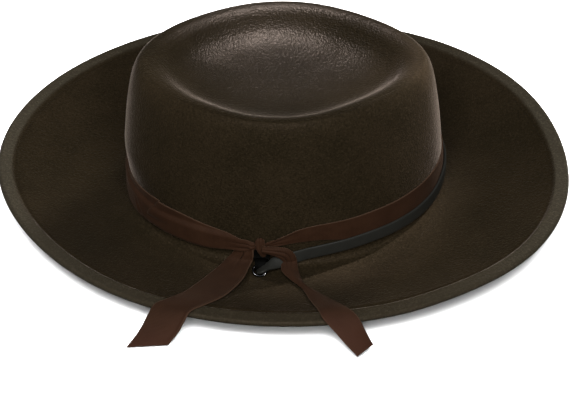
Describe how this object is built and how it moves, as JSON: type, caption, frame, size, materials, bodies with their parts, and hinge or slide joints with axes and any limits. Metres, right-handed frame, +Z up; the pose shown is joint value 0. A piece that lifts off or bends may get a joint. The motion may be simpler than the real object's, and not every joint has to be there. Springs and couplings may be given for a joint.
{
  "type": "wide brim hat",
  "caption": "Dark brown wool felt hat with a flat-topped crown, wide upturned brim, tied grosgrain ribbon and a thin leather strap.",
  "frame": {"origin": "middle of the whole hat's box, on the surface it rests on", "axes": "+Z up, +X towards the back of the hat, -Y towards the side with the ribbon's bow"},
  "size_m": [0.3624, 0.3432, 0.0965],
  "materials": {
    "felt": "matte",
    "ribbon": "satin",
    "leather": "satin",
    "metal": "glossy"
  },
  "bodies": {
    "root": {"felt_body": "felt", "ribbon_band": "ribbon", "ribbon_tail_left": "ribbon", "ribbon_tail_right": "ribbon", "leather_strap": "leather", "ribbon_knot": "ribbon", "strap_ring": "metal"}
  },
  "joints": []
}
